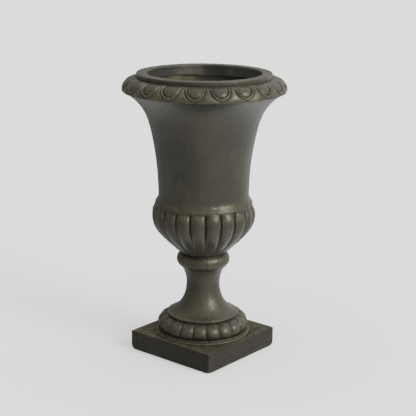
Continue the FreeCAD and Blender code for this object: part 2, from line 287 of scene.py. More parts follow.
def bump(graph, height, distance):
    return graph.node("ShaderNodeBump", None, {"Strength": 1.0, "Distance": distance, "Height": height})


def shaded(tone, amount):
    """A colour made darker or lighter, by one share or by one for each channel."""
    return tuple(np.minimum(np.multiply(tone, amount), 1.0))


# ---- finishes ----

def antique_paint(finish, name, sand=0.5, specular=0.36, duller=0.0, shade=1.0):
    """Dark paint, dust-pale where thin, washed olive and rubbed khaki where proud, with painted highlights
    on some crests, and near black in the creases from soiling and painted shade.
    """
    material, g, shader = new_material(name)
    place = object_place(g)
    rub, pit = g.attribute("rub"), g.attribute("pit")
    clouds = g.noise(place, 9.0, 3.0, 0.5, 0.3, seed=1.0)
    patches = g.noise(place, 38.0, 5.0, 0.6, 0.4, seed=2.0)
    specks = g.noise(place, 240.0, 3.0, 0.6, seed=3.0)
    sanding = g.noise(place, 900.0, 2.0, 0.55, seed=4.0)
    brushed = g.noise(object_place(g, (62.0, 62.0, 3.0)), 1.0, 4.0, 0.6, 0.2, seed=5.0)
    blots = g.noise(place, 95.0, 4.0, 0.6, 0.6, seed=6.0)

    thin = g.ramp(clouds * 0.50 + patches * 0.28 + brushed * 0.22, 0.40, 0.66)
    base = g.mix(thin, shaded(finish.paint, shade), shaded(finish.paint_light, shade))
    wash = g.ramp(rub * (0.55 + 0.9 * brushed) + (patches - 0.5) * 0.30, 0.06, 0.42)
    base = g.mix(wash * 0.92, base, finish.wash)
    # This follows the rubbing mark, so it also carries the painted highlights, and so does the rubbed mask
    # made from it.
    wear_and_light = rub * (1.15 * patches + 0.95 * clouds - 0.33) + (specks - 0.5) * 0.34 + (brushed - 0.5) * 0.30
    rubbed = g.ramp(wear_and_light, 0.30, 0.80) * finish.rub_and_highlight_amount
    base = g.mix(rubbed, base, finish.rub)
    # Painted highlight: where the rubbing mark is strongest, at the top of the rim's borders, a paler khaki
    # stands in for streaky highlights.
    base = g.mix(g.ramp(wear_and_light, 0.80, 1.35) * 0.60, base, shaded(finish.rub, 1.9))
    smudge = g.ramp(blots, 0.46, 0.64) * wash
    # Darkening in creases: partly soiling, partly painted shade in grooves, recesses and under overhangs.
    dirt_and_shade = g.ramp(pit + (patches - 0.5) * 0.25 + smudge * 0.40, 0.12, 0.90)
    base = g.mix(dirt_and_shade * 0.90, base, finish.grime_and_shade)
    base = g.mix(g.ramp(specks, 0.60, 0.76) * (0.10 + 0.30 * sand), base, finish.wash)
    relief = (specks - 0.5) * 0.55 + (sanding - 0.5) * 0.35 * sand + (patches - 0.5) * 0.9
    if sand > 0.5:
        grain = g.noise(place, 330.0, 3.0, 0.7, 0.3, seed=7.0)
        base = g.mix(g.ramp(grain, 0.47, 0.36) * 0.70, base, finish.grime_and_shade)
        base = g.mix(g.ramp(grain, 0.54, 0.65) * 0.60, base, shaded(finish.paint_light, 1.8))
        relief = relief + (grain - 0.5) * 1.4
    rough = (finish.roughness + duller + rubbed * 0.04 + dirt_and_shade * 0.22 + (patches - 0.5) * 0.16
             + (specks - 0.5) * 0.14)
    feed_shader(g, shader, colour=base, roughness=rough, normal=bump(g, relief, 0.00042 * (0.6 + sand)),
                specular=specular, gloss_tint=finish.gloss_tint, metal=rubbed * 1.3 * (1 - dirt_and_shade))
    return material


def raw_laminate(finish, name):
    """Chopped strands under thin resin, tan with brown shadows."""
    material, g, shader = new_material(name)
    place = object_place(g)
    strands = []
    for number, turn in enumerate(((0.5, 0.2, 0.9), (-0.8, 0.6, -0.4), (0.2, -0.9, 1.7))):
        way = g.node("ShaderNodeMapping", {"vector_type": "TEXTURE"},
                     {"Vector": place, "Rotation": turn, "Scale": (0.012, 0.0012, 0.0012)})
        strands.append(g.noise(way, 1.0, 3.0, 0.6, 0.6, seed=11.0 + number))
    weave = strands[0] * 0.4 + strands[1] * 0.35 + strands[2] * 0.25
    clouds = g.noise(place, 22.0, 4.0, 0.6, seed=15.0)
    blots = g.noise(place, 70.0, 4.0, 0.65, 0.5, seed=16.0)
    base = g.mix(g.ramp(weave, 0.38, 0.62), shaded(finish.laminate, (0.48, 0.45, 0.42)), finish.laminate)
    base = g.mix(g.ramp(clouds + (blots - 0.5) * 0.6, 0.52, 0.78) * 0.55, base, finish.resin)
    rough = 0.62 + (weave - 0.5) * 0.3 + (clouds - 0.5) * 0.2
    relief = (weave - 0.5) + (blots - 0.5) * 0.8
    feed_shader(g, shader, colour=base, roughness=rough, normal=bump(g, relief, 0.0011), specular=0.45)
    return material


def lining_paint(finish, name, edge_level, dark_way):
    """The mouth's lining: dark paint that ends in a ragged edge over raw laminate, with painted shadow to
    one side and painted light on the far wall.
    """
    material, g, shader = new_material(name)
    place = object_place(g)
    clouds = g.noise(place, 14.0, 3.0, 0.55, 0.2, seed=21.0)
    ragged = g.noise(place, 70.0, 5.0, 0.7, 0.8, seed=22.0)
    fine = g.noise(place, 420.0, 3.0, 0.6, seed=23.0)
    strands = g.noise(object_place(g, (700.0, 700.0, 45.0)), 1.0, 3.0, 0.6, 0.5, seed=24.0)
    mottle = g.noise(place, 60.0, 5.0, 0.7, 0.4, seed=25.0)

    # Painted shadow: towards dark_way, the camera's right, the laminate is darkened with the paint colour
    # and the paint reaches lower.
    spread = g.vector("DOT_PRODUCT", {0: place, 1: dark_way}, output=1)
    shade = g.ramp(spread + (clouds - 0.5) * 0.05, -0.046, 0.004)
    line = g.axis(place, 2) + (ragged - 0.5) * 0.010 + (clouds - 0.5) * 0.010 + shade * 0.004
    painted = g.ramp(line, edge_level - 0.0005, edge_level + 0.0008)
    # A darker brown band just below the paint's ragged edge.
    dark_edge_band = (g.ramp(line, edge_level - 0.0085, edge_level - 0.0030)
             * g.ramp(clouds + ragged, 0.80, 1.05, 0.45, 1.0))
    mat = g.mix(g.ramp(strands + (fine - 0.5) * 0.4, 0.38, 0.62),
                shaded(finish.laminate, (0.30, 0.28, 0.24)), finish.laminate)
    mat = g.mix(shade * 0.90, mat, finish.paint)
    mat = g.mix(dark_edge_band * 0.95, mat, finish.resin)
    # Painted light: paler patches on the painted lining, placed by direction from the camera where light
    # falls on the far wall.
    dusty_and_lit = g.ramp(spread, -0.105, -0.060) * g.ramp(spread, 0.012, -0.020) + g.ramp(spread, 0.030, 0.085)
    skin = g.mix(g.ramp(clouds * 0.35 + dusty_and_lit * 0.45 + mottle * 0.55, 0.50, 1.05),
                 shaded(finish.paint_light, 0.85), shaded(finish.paint_light, 2.2))
    rough = 0.66 - painted * 0.06 + (ragged - 0.5) * 0.2
    relief = ((fine - 0.5) * 0.3 + (strands - 0.5) * 1.1 * (1 - painted) + painted * 0.9
              + (ragged - 0.5) * 0.4)
    feed_shader(g, shader, colour=g.mix(painted, mat, skin), roughness=rough,
                normal=bump(g, relief, 0.0008), specular=0.4)
    return material


def woven_tape(finish, name):
    """Glass tape under resin: over-and-under threads."""
    material, g, shader = new_material(name)
    uv = g.node("ShaderNodeUVMap", {"uv_map": "tape"})
    pitch = 2 * math.pi / 0.0042
    threads = g.maths("SINE", g.axis(uv, 0) * pitch) * g.maths("SINE", g.axis(uv, 1) * pitch)
    clouds = g.noise(object_place(g), 45.0, 4.0, 0.6, seed=31.0)
    pale = g.ramp(threads * 0.5 + 0.5 + (clouds - 0.5) * 0.8, 0.15, 0.85)
    base = g.mix(pale, shaded(finish.laminate, 0.42), shaded(finish.laminate, 1.15))
    base = g.mix(g.ramp(clouds, 0.56, 0.74) * 0.5, base, finish.resin)
    feed_shader(g, shader, colour=base, roughness=0.50 + (clouds - 0.5) * 0.3,
                normal=bump(g, threads + (clouds - 0.5) * 1.5, 0.0005), specular=0.5)
    return material


def plug_rubber(finish, name):
    """Moulded rubber with chalky dust and fine turning marks."""
    material, g, shader = new_material(name)
    place = object_place(g)
    dust = g.noise(place, 160.0, 5.0, 0.65, seed=41.0)
    fine = g.noise(place, 1400.0, 2.0, 0.5, seed=42.0)
    rings = g.node("ShaderNodeTexWave",
                   {"wave_type": "RINGS", "rings_direction": "Z", "wave_profile": "SIN"},
                   {"Vector": place, "Scale": 260.0, "Distortion": 1.0})
    chalk = g.ramp(dust, 0.50, 0.72)
    relief = (fine - 0.5) * 0.5 + (rings - 0.5) * 0.25 + (dust - 0.5) * 0.6
    feed_shader(g, shader, colour=g.mix(chalk * 0.5, finish.rubber, finish.chalk),
                roughness=0.55 + chalk * 0.25, normal=bump(g, relief, 0.00025), specular=0.45)
    return material


FINISHES = {
    "urn_antique_paint": antique_paint,
    "urn_plinth_paint": lambda finish, name: antique_paint(finish, name, 1.0, 0.12, 0.18, 0.84),
    "urn_raw_laminate": raw_laminate,
    # Its painted shadow falls towards the camera's right.
    "urn_mouth_lining": lambda finish, name: lining_paint(finish, name, 0.7725,
                                                          seen_from_camera(1.0, 0.0, 0.0)),
    "urn_woven_tape": woven_tape,
    "urn_plug_rubber": plug_rubber,
}


def finish_named(context, name):
    """One of the urn's finishes, made when first asked for."""
    if name in bpy.data.materials:
        return bpy.data.materials[name]
    return FINISHES[name](context.scene.urn_finish, name)


# ---- outlines ----

def pt(radius, level):
    return np.array((radius, level), float)


def moved(start, distance, degrees):
    turn = math.radians(degrees)
    return start + distance * np.array((math.cos(turn), math.sin(turn)))


def line(a, b, count=2):
    return a + (b - a) * np.linspace(0, 1, count)[:, None]


def bezier(poles, count):
    t = np.linspace(0, 1, count)[:, None]
    a, b, c, d = poles
    return a * (1 - t) ** 3 + 3 * b * t * (1 - t) ** 2 + 3 * c * t * t * (1 - t) + d * t ** 3


def bend(start, leaving, arriving, end, count):
    """A smooth curve whose leans at its ends are shares of the way between them."""
    way = end - start
    return bezier((start, start + way * leaving, end - way * arriving, end), count)


def arc(a, b, c, count):
    """The round curve from a through b to c."""
    centre = np.linalg.solve(2 * np.array((b - a, c - a)), np.array((b @ b - a @ a, c @ c - a @ a)))
    turns = [math.atan2(*(p - centre)[::-1]) for p in (a, b, c)]
    sweep = (turns[2] - turns[0] + math.pi) % (2 * math.pi) - math.pi
    middle = (turns[1] - turns[0] + math.pi) % (2 * math.pi) - math.pi
    if sweep * middle < 0:
        sweep -= math.copysign(2 * math.pi, sweep)
    t = turns[0] + sweep * np.linspace(0, 1, count)
    return centre + np.linalg.norm(a - centre) * np.stack((np.cos(t), np.sin(t)), 1)


def rounded(points, radius, count=4):
    """A run of straight lines with its inner corners rounded."""
    points = np.array(points, float)
    result = [points[0]]
    for a, b, c in zip(points, points[1:], points[2:]):
        reach = min(radius, 0.45 * np.linalg.norm(a - b), 0.45 * np.linalg.norm(c - b))
        start = b + (a - b) / np.linalg.norm(a - b) * reach
        end = b + (c - b) / np.linalg.norm(c - b) * reach
        t = np.linspace(0, 1, count)[:, None]
        result.extend(start * (1 - t) ** 2 + 2 * b * t * (1 - t) + end * t * t)
    return np.array(result + [points[-1]])


def joined(*runs):
    """Runs put end to end, with no point twice."""
    points = [runs[0][0]]
    for run in runs:
        for p in run:
            if np.linalg.norm(p - points[-1]) > 1e-3:
                points.append(p)
    return np.array(points)


def distances(run):
    """How far along a run each of its points lies."""
    return np.r_[0, np.cumsum(np.linalg.norm(np.diff(run, axis=0), axis=1))]


def spaced(run, pitch):
    """A run with its points at an even pitch."""
    along = distances(run)
    at = np.linspace(0, along[-1], max(2, int(round(along[-1] / pitch)) + 1))
    return np.stack([np.interp(at, along, run[:, k]) for k in (0, 1)], 1)


def normals(points, closed=True):
    """Outward normals of an outline whose outer side runs upwards."""
    if closed:
        way = np.roll(points, -1, 0) - np.roll(points, 1, 0)
    else:
        way = np.gradient(points, axis=0)
    way /= np.maximum(np.linalg.norm(way, axis=1), 1e-9)[:, None]
    return np.stack((way[:, 1], -way[:, 0]), 1)


def stem_foot(inset):
    return moved(pt(LIP_RADIUS, LIP_TOP), 1.25 * inset, 228)


def stem_top(inset):
    return moved(pt(STEM_TOP_RADIUS, STEM_TOP), inset, 155)


def foot_inside(inset, count):
    return arc(pt(RING_RADIUS - inset, RING_TOP), pt(FOOT_RADIUS - inset, FOOT_LEVEL),
               stem_foot(inset), count)


def stem(inset, count=26):
    waist = pt(WAIST_RADIUS - inset, WAIST_LEVEL)
    return joined(bend(stem_foot(inset), (0.45, 0.07), (0.0, 0.56), waist, count),
                  bend(waist, (0.0, 0.35), (0.6, 0.3), stem_top(inset), count))


def cup_ground(inset, count=40):
    start = moved(pt(CUP_FOOT_RADIUS, CUP_BOTTOM), inset, 135)
    belly = pt(CUP_RADIUS - inset, CUP_WIDEST)
    return joined(bend(start, (0.42, 0.22), (0.0, 0.5), belly, count),
                  line(belly, pt(CUP_RADIUS - inset, CUP_TOP), 8))


def shoulder_inside(inset, count):
    return bend(pt(CUP_RADIUS - inset, CUP_TOP), (0.65, 0.3), (0.0, 0.45),
                pt(BODY_RADIUS - inset, BODY_BOTTOM), count)


def body(inset, count=30):
    start = pt(BODY_RADIUS - inset, BODY_BOTTOM)
    middle = moved(pt(159.2, 680), inset, 160)
    finish = moved(pt(ROLL_FOOT_RADIUS, ROLL_BOTTOM), 1.3 * inset, 135)
    lean = (middle - start) * (0.54, 0.206)
    way = finish - middle
    leaving = middle + lean * 0.36 * way[1] / lean[1]
    upper = bezier((middle, leaving, finish - way * (0.5, 0.23), finish), count)
    return joined(bend(start, (0.0, 0.36), (0.54, 0.206), middle, count), upper)


def smooth(x, low, high):
    """0 before low and 1 after high, or the other way round where low is above high."""
    t = np.clip((x - low) / (high - low), 0, 1)
    return t * t * (3 - 2 * t)


def peak(x, at, width):
    return np.exp(-((x - at) / width) ** 2)


def between(x, low, high):
    return (x > low) & (x < high)


# ---- meshes ----

def swept_mesh(name, radius, level, turn, closed=False, **wear_and_light):
    """Columns side by side, each a closed outline at its turn, as a mesh that stores its marks of rubbing
    with painted highlight, creases with painted shade, and raw laminate on its points.
    """
    turn = turn[:, None]
    places = np.stack((radius * np.cos(turn), radius * np.sin(turn), level), -1)
    columns, rows = radius.shape
    i, j = np.meshgrid(np.arange(columns if closed else columns - 1), np.arange(rows), indexing="ij")
    n, k = (i + 1) % columns, (j + 1) % rows
    faces = np.stack((i * rows + j, n * rows + j, n * rows + k, i * rows + k), -1)
    mesh = bpy.data.meshes.new(name)
    mesh.from_pydata((places.reshape(-1, 3) * MM).tolist(), [], faces.reshape(-1, 4).tolist())
    for key, data in wear_and_light.items():
        layer = mesh.attributes.new(key, "FLOAT", "POINT")
        layer.data.foreach_set("value", np.broadcast_to(data, radius.shape).astype(np.float32).ravel())
    return mesh


def link(name, data):
    result = bpy.data.objects.new(name, data)
    bpy.context.scene.collection.objects.link(result)
    return result


def new_tree(name, inputs):
    """A geometry tree with named inputs: (tree, graph, inputs by name, the output's socket)."""
    tree = bpy.data.node_groups.new(name, "GeometryNodeTree")
    tree.interface.new_socket("Geometry", in_out="OUTPUT", socket_type="NodeSocketGeometry")
    tree.interface.new_socket("Geometry", in_out="INPUT", socket_type="NodeSocketGeometry")
    for key, (kind, default) in inputs.items():
        socket = tree.interface.new_socket(key, in_out="INPUT", socket_type="NodeSocket" + kind)
        if default is not None:
            socket.default_value = default
    graph = Graph(tree)
    start = tree.nodes.new("NodeGroupInput")
    end = tree.nodes.new("NodeGroupOutput")
    given = {s.name: Value(graph, s) for s in start.outputs if s.name}
    return tree, graph, given, end.inputs[0]


def ring_tree():
    """Repeats one unit round the axis, welds the copies and lets the casting stray a little."""
    if "Cast ring" in bpy.data.node_groups:
        return bpy.data.node_groups["Cast ring"]
    tree, g, given, end = new_tree("Cast ring", {
        "Count": ("Int", 10), "First angle": ("Float", 0.0), "Unit angle": ("Float", STEP),
        "Weld": ("Float", WELD), "Wobble": ("Float", 0.001), "Wobble size": ("Float", 0.08),
        "Lumps": ("Float", 0.0004), "Lump size": ("Float", 0.014), "Seed": ("Int", 0),
        "Outside": ("Material", None), "Mouth": ("Material", None), "Inside": ("Material", None)})
    turn = g.node("GeometryNodeInputIndex") * given["Unit angle"] + given["First angle"]
    spin = g.node("FunctionNodeEulerToRotation", None,
                  {0: g.node("ShaderNodeCombineXYZ", None, {"Z": turn})})
    copies = g.node("GeometryNodeInstanceOnPoints", None,
                    {"Points": g.node("GeometryNodePoints", None, {"Count": given["Count"]}),
                     "Instance": given["Geometry"], "Rotation": spin})
    solid = g.node("GeometryNodeRealizeInstances", None, {0: copies})
    solid = g.node("GeometryNodeMergeByDistance", None, {"Geometry": solid, "Distance": given["Weld"]})
    solid = g.strayed(solid, given["Wobble size"], given["Wobble"] * 2.0, given["Seed"] * 1.7)
    worn = g.maths("MINIMUM", g.stored("rub"), 1.3)
    solid = g.strayed(solid, given["Lump size"], given["Lumps"] * (0.6 + 3.4 * worn),
                      given["Seed"] * 2.3)
    solid = g.finished(solid, given["Outside"])
    for least, finish in ((LINING_LEAST, "Mouth"), (LAMINATE_LEAST, "Inside")):
        chosen = g.node("FunctionNodeCompare", {"data_type": "FLOAT", "operation": "GREATER_THAN"},
                        {0: g.stored("raw"), 1: least})
        solid = g.finished(solid, given[finish], chosen)
    tree.links.new(solid.socket, end)
    return tree


def turned_tree():
    """Turns a drawn outline round the axis into a closed solid, with a ragged lower edge if asked."""
    if "Turned piece" in bpy.data.node_groups:
        return bpy.data.node_groups["Turned piece"]
    tree, g, given, end = new_tree("Turned piece", {
        "Columns": ("Int", 96), "Rows": ("Int", 64), "Ragged": ("Float", 0.0),
        "Ragged below": ("Float", 0.0), "Wobble": ("Float", 0.0), "Wobble size": ("Float", 0.05),
        "Seed": ("Int", 0), "Finish": ("Material", None)})
    grid = g.node("GeometryNodeMeshGrid", None,
                  {"Size X": 1.0, "Size Y": 1.0,
                   "Vertices X": given["Columns"], "Vertices Y": given["Rows"]})
    uv = g.node("GeometryNodeInputPosition")
    drawn = g.node("GeometryNodeSampleCurve", {"mode": "FACTOR", "use_all_curves": True},
                   {"Curves": given["Geometry"], "Factor": g.axis(uv, 1) + 0.5}, output=1)
    radius, level = g.axis(drawn, 0), g.axis(drawn, 2)
    turn = (g.axis(uv, 0) + 0.5) * (2 * math.pi)
    cosine, sine = g.maths("COSINE", turn), g.maths("SINE", turn)
    around = g.node("ShaderNodeCombineXYZ", None, {0: cosine, 1: sine})
    tooth = g.noise(around, 24.0, 5.0, 0.7, seed=given["Seed"] * 1.3 + 4.0)
    below = g.maths("LESS_THAN", level, given["Ragged below"])
    level = level + below * given["Ragged"] * (tooth - 0.35)
    place = g.node("ShaderNodeCombineXYZ", None, {0: radius * cosine, 1: radius * sine, 2: level})
    solid = g.node("GeometryNodeSetPosition", None, {"Geometry": grid, "Position": place})
    solid = g.node("GeometryNodeMergeByDistance", None, {"Geometry": solid, "Distance": FINE_WELD})
    solid = g.strayed(solid, given["Wobble size"], given["Wobble"] * 2.0, given["Seed"] * 1.7)
    solid = g.node("GeometryNodeRealizeInstances", None, {0: solid})
    tree.links.new(g.finished(solid, given["Finish"]).socket, end)
    return tree


def grown(piece, tree, values):
    """The plain mesh that a geometry tree makes of a piece."""
    modifier = piece.modifiers.new(tree.name, "NODES")
    modifier.node_group = tree
    for item in tree.interface.items_tree:
        if item.item_type == "SOCKET" and item.in_out == "INPUT" and item.name in values:
            modifier[item.identifier] = values[item.name]
    depsgraph = bpy.context.evaluated_depsgraph_get()
    mesh = bpy.data.meshes.new_from_object(piece.evaluated_get(depsgraph), preserve_all_data_layers=True,
                                           depsgraph=depsgraph)
    name = piece.name
    bpy.data.objects.remove(piece)
    return link(name, mesh)


def outward(piece, weld=0.0, capped=False):
    """Smooths a piece and points its faces outwards, once its doubles are welded or its ends capped."""
    work = bmesh.new()
    work.from_mesh(piece.data)
    caps = []
    if weld:
        bmesh.ops.remove_doubles(work, verts=work.verts, dist=weld)
    if capped:
        edges = [e for e in work.edges if e.is_boundary]
        caps = bmesh.ops.holes_fill(work, edges=edges, sides=0)["faces"]
        caps = bmesh.ops.triangulate(work, faces=caps, ngon_method="EAR_CLIP")["faces"]
    bmesh.ops.recalc_face_normals(work, faces=work.faces)
    for face in work.faces:
        face.smooth = True
    for face in caps:
        face.smooth = False
        for edge in face.edges:
            edge.smooth = False
    work.to_mesh(piece.data)
    work.free()


def edit_places(piece, change):
    """Moves the mesh's points by a function of azimuth from the seam, radius and level, in millimetres."""
    co = np.empty(len(piece.data.vertices) * 3, np.float32)
    piece.data.vertices.foreach_get("co", co)
    co = co.reshape(-1, 3).astype(float) / MM
    azimuth = np.arctan2(co[:, 1], co[:, 0])
    off = np.degrees((azimuth - SEAM + math.pi) % (2 * math.pi) - math.pi)
    radius, level = change(off, np.hypot(co[:, 0], co[:, 1]), co[:, 2].copy())
    co = np.stack((radius * np.cos(azimuth), radius * np.sin(azimuth), level), 1) * MM
    piece.data.vertices.foreach_set("co", co.astype(np.float32).ravel())
    piece.data.update()


def finish_piece(piece, body_name, replaced, sharp):
    """Marks the sharp edges, puts the piece under its body and hides the nodes that it stands for."""
    piece.data.set_sharp_from_angle(angle=math.radians(sharp))
    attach(piece, body_name)
    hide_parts(*replaced)


def cast(context, shell, mesh, finishes, marks, sharp, count=1, first=0.0, weld=FINE_WELD, wobble=1.0,
         lumps=1.0):
    """A shell's piece, cast from one unit's mesh in finishes for outside, inside and, if given, mouth."""
    ornament = context.scene.urn_ornament
    materials = [finish_named(context, name) for name in finishes]
    piece = grown(link(mesh.name, mesh), ring_tree(), {
        "Count": count, "First angle": first, "Unit angle": STEP, "Weld": weld,
        "Wobble": ornament.wobble * wobble, "Wobble size": ornament.wobble_size, "Seed": ornament.seed,
        "Lumps": ornament.lumps * lumps, "Lump size": ornament.lump_size,
        "Outside": materials[0], "Inside": materials[1], "Mouth": materials[-1]})
    edit_places(piece, marks)
    outward(piece, capped=True)
    finish_piece(piece, BODY, [shell], sharp)


def half_rings(context, zone, columns, radius, level, marks, finishes, **wear_and_light):
    """One zone of both shells: the unit repeated ten times for each."""
    for shell, start in HALVES:
        mesh = swept_mesh(shell + "_" + zone, radius, level, columns * STEP, **wear_and_light)
        cast(context, shell, mesh, finishes, marks, 58, UNITS // 2, start, WELD)


# ---- the shells' zones ----

def unit_columns(count):
    """Places across one ornament unit, 0 to 1."""
    return np.linspace(0, 1, count + 1)


def across_unit(columns, turn):
    """Degrees from the nearest ornament's middle, for a unit that starts at the seam."""
    return ((columns * UNIT_DEGREES - math.degrees(turn)) % UNIT_DEGREES - HALF_UNIT)[:, None]


def repeated(outline, columns):
    """An outline's radii and levels, once for each column."""
    return [np.repeat(outline[None, :, k], len(columns), 0) for k in (0, 1)]


# The rim ornament's greatest height along the roll, in millimetres from the lip.
LIP_WIDTH = 4.2
ORNAMENT_WAY = (-5, -2, 0, 4.2, 11.5, 19.8, 27.4, 35, 41.7, 48, 54.2)
ORNAMENT_STAND = (0.4, 1.6, 3.2, 5.6, 7.0, 7.4, 6.7, 4.8, 2.8, 1.2, 0)
# Half widths in degrees and lengths in millimetres below the eggs' widest place.
EGG_TOP, EGG_HALF, EGG_LENGTH = 40, 6.0, 29.5
BORDER_HALF, BORDER_LENGTH = 7.8, 38.5


def eggs_and_darts(a, y, stand):
    """Relief, rubbing with painted highlights, and crease darkness with painted shade of the rim, by
    degrees from an egg's middle and distance above the lip.
    """
    low = np.minimum(y - EGG_TOP, 0)
    egg = np.sqrt((a / EGG_HALF) ** 2 + (low / EGG_LENGTH) ** 2)
    edge = np.sqrt((a / BORDER_HALF) ** 2 + (low / BORDER_LENGTH) ** 2)
    on_border = (egg > 1) & (edge < 1)
    dome = 0.36 + 0.64 * np.clip(1 - egg ** 2.6, 0, 1) ** 0.55
    strip = np.clip(egg - 1, 0, None)
    strip = strip / np.maximum(strip + np.clip(1 - edge, 0, None), 1e-6)
    ridge = 0.32 + 0.62 * smooth(strip, 0.04, 0.40) - 0.58 * smooth(strip, 0.58, 1.0)
    half = HALF_UNIT - BORDER_HALF * np.sqrt(np.clip(1 - (low / BORDER_LENGTH) ** 2, 0, 1))
    b = np.clip((HALF_UNIT - a) / half, 0, 1)
    leaf = 0.36 + 0.46 * (1 - b ** 2.4) ** 0.7
    reach = np.interp(y[0], ORNAMENT_WAY, ORNAMENT_STAND) * stand / (max(ORNAMENT_STAND) * MM)
    reach = np.convolve(reach, np.ones(5) / 5, "same")[None, :]
    relief = np.where(egg < 1, dome, np.where(edge < 1, ridge, leaf)) * reach

    # The borders' crests are rubbed paler: partly rubbing, partly painted highlight, the painted part
    # growing towards the top of the roll.
    crest = peak(strip, 0.50, 0.22) * on_border * smooth(y, 54, 47)
    worn = np.where(egg < 1, 0.20 + 0.40 * smooth(egg, 0.45, 0.95) * smooth(y, 30, 10),
                    0.16 + 0.52 * (1 - b ** 3))
    rub = np.where(on_border, 0.10 + crest * (0.74 + 1.15 * smooth(y, 24, 44)), worn) * smooth(y, -4, 2)
    # Painted shade, partly soiling: darker in the grooves round eggs and borders, under the fascia and
    # below the lip.
    crease = 0.70 * peak(egg, 1, 0.034) + 0.62 * peak(edge, 1, 0.028) * (egg > 1)
    pit = np.clip(crease, 0, 1) + 0.45 * smooth(y, 50, 54.5) + 0.35 * smooth(y, 0.0, -4)
    return relief, rub, pit


class URN_OT_rim(bpy.types.Operator):
    """Rim roll with eggs and darts, fascia and brim"""
    bl_idname = "urn.rim"
    bl_label = "Rim"

    def execute(self, context):
        ornament = context.scene.urn_ornament
        behind = FASCIA_RADIUS - WALL
        foot, start = pt(ROLL_FOOT_RADIUS, ROLL_BOTTOM), pt(ROLL_RADIUS, 752)
        crown = pt(FASCIA_RADIUS + 0.62 * (ROLL_RADIUS - FASCIA_RADIUS), FASCIA_BOTTOM - 0.33 * 39)
        top, throat = pt(FASCIA_RADIUS, FASCIA_BOTTOM), (MOUTH_RADIUS, FLANGE_BOTTOM + 4)
        roll = spaced(joined(line(foot, start), arc(start, crown, top, 60)), 1.15)
        brim = rounded((top, (FASCIA_RADIUS, HEIGHT), (MOUTH_RADIUS, HEIGHT), throat), 2.2, 5)
        flange = rounded((throat, (MOUTH_RADIUS, FLANGE_BOTTOM), (behind, FLANGE_BOTTOM),
                          (behind, 784)), 0.3, 3)
        inner_end = moved(foot, 1.3 * WALL, 135)
        inner = arc(pt(behind, 784), moved(crown, WALL, 225), inner_end, 14)
        outline = joined(roll, brim, flange, inner, line(inner_end, foot, 3))[:-1]
        count = len(roll)
        out = normals(outline)
        out[:count] = normals(roll, closed=False)

        columns = unit_columns(56)
        a = np.abs(across_unit(columns, ornament.rim_turn))
        y = distances(roll)[None, :] - LIP_WIDTH
        relief, rub, pit = np.zeros((3, len(columns), len(outline)))
        relief[:, :count], rub[:, :count], pit[:, :count] = eggs_and_darts(a, y, ornament.stand)
        r, z = outline.T
        edges = 0.40 * peak(r, 185.9, 1.6) * (z > 797) + 0.6 * peak(r, 158.4, 1.6) * (z > 796)
        rub[:, count:] += (edges + (z > 798.5) * 0.10)[count:]
        bare = between(r, MOUTH_RADIUS + 1, FASCIA_RADIUS - 2) & (z < 790.5) & (np.arange(len(r)) > count)
        throat_face = (r < MOUTH_RADIUS + 1.2) & (z < HEIGHT - 0.3)
        raw = np.maximum(bare * LAMINATE_MARK, throat_face * LINING_MARK)

        def marks(off, r, z):
            kink = smooth(off, -3.2, 0.4) * smooth(off, 9.0, 2.0)
            r = r + ((z > 786) & (r > 183)) * 0.9 * kink - (z > 770) * 0.7 * peak(off, 0.4, 0.35)
            return r, z - (between(z, 786, 793) & (r > 180)) * 1.2 * kink

        half_rings(context, "rim", columns, outline[:, 0] + relief * out[:, 0],
                   outline[:, 1] + relief * out[:, 1], marks,
                   ("urn_antique_paint", "urn_raw_laminate", "urn_mouth_lining"),
                   rub=rub, pit=pit, raw=raw)
        return {"FINISHED"}


